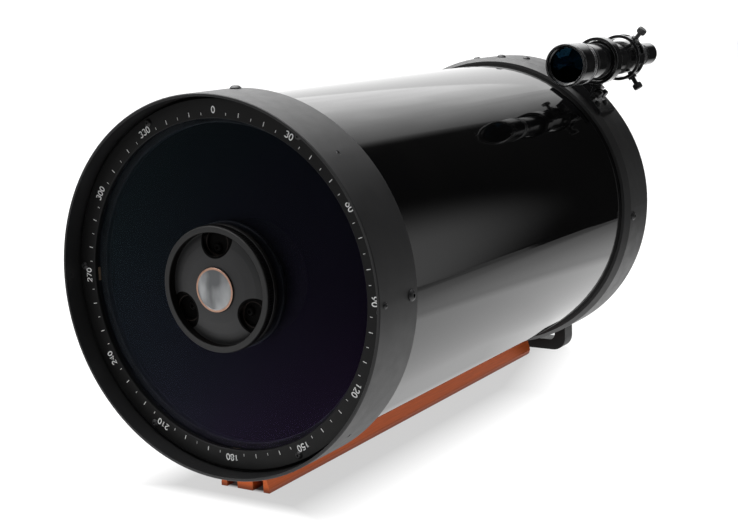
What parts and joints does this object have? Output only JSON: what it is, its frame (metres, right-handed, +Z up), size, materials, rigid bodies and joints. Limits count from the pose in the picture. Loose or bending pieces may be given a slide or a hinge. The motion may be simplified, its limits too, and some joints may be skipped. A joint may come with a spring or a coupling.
{
  "type": "schmidt cassegrain telescope",
  "caption": "Schmidt-Cassegrain telescope tube with corrector, tilting secondary, focusing primary, dovetail bar, visual back and finder scope.",
  "frame": {"origin": "middle of the dovetail bar's flat underside, below the optical axis", "axes": "+Z up from the dovetail bar to the optical axis, +Y along the optical axis to the rear, +X to the right seen from the front"},
  "size_m": [0.2838, 0.562, 0.321],
  "materials": {
    "black_cast": "fine textured satin black",
    "black_tube": "gloss black",
    "black_anodised": "satin black anodised",
    "orange_anodised": "burnt orange anodised, satin",
    "corrector_glass": "anti-reflection coated",
    "lens_glass": "blue coated",
    "mirror": "aluminised",
    "black_screws": "black oxide",
    "steel_screws": "zinc plated",
    "bearing_steel": "polished",
    "brass": "machined",
    "gasket": "matte",
    "cork": "cork",
    "rubber": "moulded",
    "black_plastic": "satin moulded",
    "cap_metal": "pearl face with a copper rim",
    "machined": "machined"
  },
  "bodies": {
    "tube_assembly": {"front_cell": "black_cast", "front_cell_screws": "black_screws", "corrector_centring_screws": "black_screws", "lip_screws": "black_screws", "corrector_plate": "corrector_glass", "corrector_gasket": "gasket", "corrector_shims": "cork", "corrector_retaining_ring": "black_plastic", "retaining_ring_screws": "black_screws", "secondary_housing": "black_plastic", "secondary_front_gasket": "gasket", "secondary_lock_ring": "black_plastic", "secondary_baffle": "black_anodised", "secondary_retaining_ring": "black_plastic", "secondary_backplate": "black_plastic", "secondary_cap": "cap_metal", "optical_tube": "black_tube", "rear_cell": "black_cast", "rear_cell_screws": "black_screws", "accessory_plug_screws": "black_screws", "rear_adapter": "black_anodised", "visual_back": "black_anodised", "rear_handle": "black_plastic", "handle_screws": "black_screws", "primary_baffle_tube": "black_anodised", "focus_bearing_housing": "black_anodised", "focus_housing_screws": "black_screws", "focus_bearing_outer_rings": "bearing_steel", "dovetail_bar": "orange_anodised", "bar_screws": "black_screws", "finder_shoe": "black_anodised", "finder_shoe_screws": "steel_screws"},
    "primary": {"primary_mirror": "mirror", "mirror_carrier": "machined", "mirror_lock_ring": "black_anodised", "focus_nut": "brass"},
    "focus_drive": {"focus_screw": "brass", "focus_knob": "black_anodised", "focus_knob_grip": "rubber", "focus_bearing_inner_rings": "bearing_steel"},
    "collimation_1": {"collimation_screw_1": "black_screws"},
    "collimation_2": {"collimation_screw_2": "black_screws"},
    "collimation_3": {"collimation_screw_3": "black_screws"},
    "secondary_pivot": {"secondary_pivot_ball": "bearing_steel"},
    "secondary": {"secondary_mirror_holder": "machined", "secondary_mirror": "mirror"},
    "visual_back_screw_1": {"visual_back_thumbscrew_1": "steel_screws"},
    "visual_back_screw_2": {"visual_back_thumbscrew_2": "steel_screws"},
    "shoe_clamps": {"shoe_clamp_screws": "steel_screws"},
    "bracket": {"finder_bracket": "black_anodised"},
    "finder": {"finder_tube": "black_anodised", "finder_bracket_oring": "rubber", "finder_eyepiece": "black_plastic", "finder_eye_lens": "lens_glass"},
    "finder_objective": {"finder_objective_cell": "black_anodised", "finder_objective_lens": "lens_glass"},
    "finder_lock": {"finder_lock_ring": "black_anodised"},
    "finder_screw_1": {"finder_thumbscrew_1": "black_screws"},
    "finder_screw_2": {"finder_thumbscrew_2": "black_screws"},
    "finder_screw_3": {"finder_thumbscrew_3": "black_screws"}
  },
  "joints": [
    {"name": "focus_knob_turn", "type": "hinge", "parent": "tube_assembly", "child": "focus_drive", "pos_m": [-0.0594, 0.2755, 0.0966], "axis": [0, 1, 0], "range_deg": [-3660, 3660]},
    {"name": "primary_focus_travel", "type": "slide", "parent": "tube_assembly", "child": "primary", "axis": [0, 1, 0], "range_m": [-0.008, 0.008]},
    {"name": "collimation_screw_1_turn", "type": "hinge", "parent": "tube_assembly", "child": "collimation_1", "pos_m": [0, -0.24193, 0.1855], "axis": [0, 1, 0], "range_deg": [-180, 180]},
    {"name": "collimation_screw_2_turn", "type": "hinge", "parent": "tube_assembly", "child": "collimation_2", "pos_m": [0.02555, -0.24193, 0.14125], "axis": [0, 1, 0], "range_deg": [-180, 180]},
    {"name": "collimation_screw_3_turn", "type": "hinge", "parent": "tube_assembly", "child": "collimation_3", "pos_m": [-0.02555, -0.24193, 0.14125], "axis": [0, 1, 0], "range_deg": [-180, 180]},
    {"name": "secondary_tip", "type": "hinge", "parent": "tube_assembly", "child": "secondary_pivot", "pos_m": [0, -0.2389, 0.156], "axis": [1, 0, 0], "range_deg": [-0.67, 0.67]},
    {"name": "secondary_tilt", "type": "hinge", "parent": "secondary_pivot", "child": "secondary", "pos_m": [0, -0.2389, 0.156], "axis": [0, 0, 1], "range_deg": [-0.77, 0.77]},
    {"name": "visual_back_screw_1_travel", "type": "slide", "parent": "tube_assembly", "child": "visual_back_screw_1", "axis": [-0.866, 0, 0.5], "range_m": [-0.0015, 0.003]},
    {"name": "visual_back_screw_2_travel", "type": "slide", "parent": "tube_assembly", "child": "visual_back_screw_2", "axis": [0.866, 0, 0.5], "range_m": [-0.0015, 0.003]},
    {"name": "shoe_clamp_travel", "type": "slide", "parent": "tube_assembly", "child": "shoe_clamps", "axis": [0.7604, 0, -0.6494], "range_m": [0, 0.0025]},
    {"name": "finder_bracket_slide", "type": "slide", "parent": "tube_assembly", "child": "bracket", "axis": [0, 1, 0], "range_m": [0, 0.021]},
    {"name": "finder_screw_1_travel", "type": "slide", "parent": "bracket", "child": "finder_screw_1", "axis": [0.6494, 0, 0.7604], "range_m": [-0.0019, 0.0019]},
    {"name": "finder_tilt", "type": "hinge", "parent": "bracket", "child": "finder", "pos_m": [0.1169, 0.176, 0.29287], "axis": [-0.7604, 0, 0.6494], "range_deg": [-2, 2]},
    {"name": "finder_screw_2_travel", "type": "slide", "parent": "bracket", "child": "finder_screw_2", "axis": [0.5225, 0, -0.8526], "range_m": [-0.0007, 0.0007]},
    {"name": "finder_screw_3_travel", "type": "slide", "parent": "bracket", "child": "finder_screw_3", "axis": [-0.9239, 0, 0.3827], "range_m": [-0.0007, 0.0007]},
    {"name": "finder_objective_turn", "type": "hinge", "parent": "finder", "child": "finder_objective", "pos_m": [0.1169, 0.1155, 0.29287], "axis": [0, 1, 0], "range_deg": [-180, 180]},
    {"name": "finder_lock_ring_turn", "type": "hinge", "parent": "finder", "child": "finder_lock", "pos_m": [0.1169, 0.1275, 0.29287], "axis": [0, 1, 0], "range_deg": [-180, 180]}
  ],
  "couplings": [
    {"joint": "focus_knob_turn", "follows": "primary_focus_travel", "rad_per_m": 7854},
    {"joint": "collimation_screw_1_turn", "follows": "secondary_tip", "ratio": 264.79},
    {"joint": "collimation_screw_2_turn", "follows": "secondary_tilt", "ratio": 229.32},
    {"joint": "collimation_screw_3_turn", "follows": "secondary_tilt", "ratio": -229.32},
    {"joint": "finder_tilt", "follows": "finder_screw_1_travel", "rad_per_m": -18.182},
    {"joint": "finder_screw_2_travel", "follows": "finder_screw_1_travel", "ratio": -0.30902},
    {"joint": "finder_screw_3_travel", "follows": "finder_screw_1_travel", "ratio": -0.30902}
  ]
}
